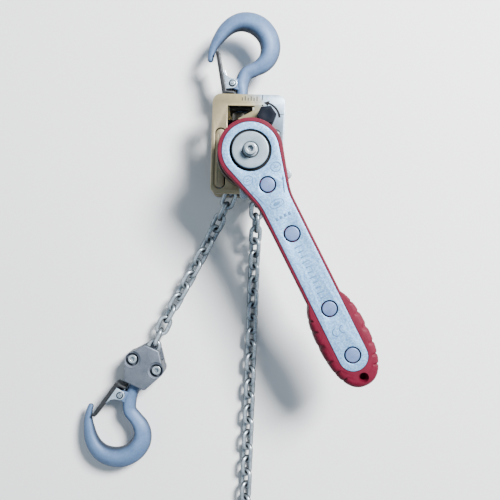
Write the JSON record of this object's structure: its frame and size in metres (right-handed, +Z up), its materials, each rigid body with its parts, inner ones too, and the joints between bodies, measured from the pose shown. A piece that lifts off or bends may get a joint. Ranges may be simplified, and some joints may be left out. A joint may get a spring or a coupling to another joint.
{
  "type": "come along winch",
  "caption": "Small lever chain hoist lying on its back, with a swivel top hook, a load hook on a short chain, a red-gripped lever and a coiled tail chain.",
  "frame": {"origin": "centre of the resting hoist's footprint on the ground, without its chain", "axes": "+Y from the load hook towards the top hook, +Z up through the hoist's front, +X towards the lever's side"},
  "size_m": [0.1917, 0.4597, 0.0661],
  "materials": {
    "zinc_plate": "zinc-plated pressed steel, satin",
    "bright_steel": "zinc-plated, bright",
    "machined_steel": "machined, oiled",
    "dark_steel": "blackened steel",
    "friction": "moulded friction lining",
    "aluminium": "cast and tumbled, satin",
    "red_grip": "moulded, fine-grained",
    "black_plastic": "moulded",
    "hook_paint": "forged steel, satin blue-grey coat",
    "block_paint": "cast steel, sand-textured grey coat"
  },
  "bodies": {
    "frame": {"front_plate": "zinc_plate", "rear_plate": "zinc_plate", "left_side_bar": "zinc_plate", "right_side_bar": "zinc_plate", "chain_guide": "dark_steel", "chain_stripper": "dark_steel", "front_bearing": "bright_steel", "rear_bearing": "bright_steel", "rear_cover": "zinc_plate", "cover_screw_1": "bright_steel", "cover_screw_2": "bright_steel", "brake_cover": "dark_steel", "brake_pawl_pin_1": "bright_steel", "brake_pawl_pin_2": "bright_steel", "load_chain": "bright_steel", "wheel_chain": "bright_steel", "tail_chain": "bright_steel", "chain_coil": "bright_steel", "end_stop_ring": "bright_steel"},
    "chain_wheel": {"chain_wheel": "machined_steel", "brake_hub": "machined_steel", "rear_friction_disc": "friction", "ratchet_disc": "machined_steel", "front_friction_disc": "friction", "centre_bolt": "bright_steel"},
    "release": {"drive_hub": "machined_steel", "release_disc": "aluminium"},
    "lever": {"lever_body": "red_grip", "lever_face_plate": "aluminium", "lever_back_plate": "bright_steel", "lever_rivet_1": "bright_steel", "lever_rivet_2": "bright_steel", "lever_rivet_3": "bright_steel", "lever_rivet_4": "bright_steel", "lever_left_boss": "bright_steel", "lever_right_boss": "bright_steel", "drive_pawl_pin": "bright_steel"},
    "drive_pawl": {"drive_pawl": "dark_steel"},
    "brake_pawl_1": {"brake_pawl_1": "dark_steel"},
    "brake_pawl_2": {"brake_pawl_2": "dark_steel"},
    "selector": {"selector_knob": "black_plastic"},
    "top_crosshead": {"hook_crosshead": "dark_steel"},
    "top_hook": {"top_hook": "hook_paint", "top_hook_nut": "dark_steel", "top_latch_rivet": "bright_steel"},
    "top_latch": {"top_latch": "bright_steel"},
    "load_block": {"load_block_front": "block_paint", "load_block_rear": "block_paint", "block_bolt_1": "bright_steel", "block_bolt_2": "bright_steel", "block_nut_1": "bright_steel", "block_nut_2": "bright_steel", "chain_pin": "bright_steel"},
    "load_hook": {"load_hook": "hook_paint", "load_hook_nut": "dark_steel", "load_latch_rivet": "bright_steel"},
    "load_latch": {"load_latch": "bright_steel"}
  },
  "joints": [
    {"name": "wheel_spin", "type": "hinge", "parent": "frame", "child": "chain_wheel", "pos_m": [0.0153, 0.0561, 0.02], "axis": [0, 0, 1], "continuous": true},
    {"name": "release_turn", "type": "hinge", "parent": "chain_wheel", "child": "release", "pos_m": [0.0153, 0.0561, 0.05], "axis": [0, 0, 1], "range_deg": [0, 90]},
    {"name": "lever_swing", "type": "hinge", "parent": "frame", "child": "lever", "pos_m": [0.0153, 0.0561, 0.05], "axis": [0, 0, 1], "continuous": true},
    {"name": "drive_pawl_tilt", "type": "hinge", "parent": "lever", "child": "drive_pawl", "pos_m": [0.02613, 0.04352, 0.05], "axis": [0, 0, 1], "range_deg": [-7, 12], "stiffness_Nm_per_rad": 0.01, "springref_deg": -6.99},
    {"name": "brake_pawl_1_tilt", "type": "hinge", "parent": "frame", "child": "brake_pawl_1", "pos_m": [0.0153, 0.0739, 0.039], "axis": [0, 0, 1], "range_deg": [-4, 12], "stiffness_Nm_per_rad": 0.01, "springref_deg": -4.01},
    {"name": "brake_pawl_2_tilt", "type": "hinge", "parent": "frame", "child": "brake_pawl_2", "pos_m": [0.0153, 0.0383, 0.039], "axis": [0, 0, 1], "range_deg": [-4, 12], "stiffness_Nm_per_rad": 0.01, "springref_deg": -4.01},
    {"name": "selector_turn", "type": "hinge", "parent": "frame", "child": "selector", "pos_m": [0.0249, 0.0816, 0.039], "axis": [0, 0, 1], "range_deg": [0, 60]},
    {"name": "top_hook_swing", "type": "hinge", "parent": "frame", "child": "top_crosshead", "pos_m": [0.0083, 0.0926, 0.02], "axis": [0, 0, 1], "range_deg": [-20, 20]},
    {"name": "top_hook_swivel", "type": "hinge", "parent": "top_crosshead", "child": "top_hook", "pos_m": [0.0083, 0.1161, 0.02], "axis": [0, 1, 0], "continuous": true},
    {"name": "top_latch_open", "type": "hinge", "parent": "top_hook", "child": "top_latch", "pos_m": [0.0019, 0.1061, 0.02], "axis": [0, 0, -1], "range_deg": [0, 35], "stiffness_Nm_per_rad": 0.01, "springref_deg": -22.92},
    {"name": "load_block_swing", "type": "hinge", "parent": "frame", "child": "load_block", "pos_m": [-0.04961, -0.07733, 0.0088], "axis": [0, 0, 1], "range_deg": [-50, 50]},
    {"name": "load_hook_swivel", "type": "hinge", "parent": "load_block", "child": "load_hook", "pos_m": [-0.06157, -0.10484, 0.0088], "axis": [0.3987, 0.9171, 0], "continuous": true},
    {"name": "load_latch_open", "type": "hinge", "parent": "load_hook", "child": "load_latch", "pos_m": [-0.06908, -0.10605, 0.0088], "axis": [0, 0, 1], "range_deg": [0, 35], "stiffness_Nm_per_rad": 0.01, "springref_deg": -22.92}
  ]
}
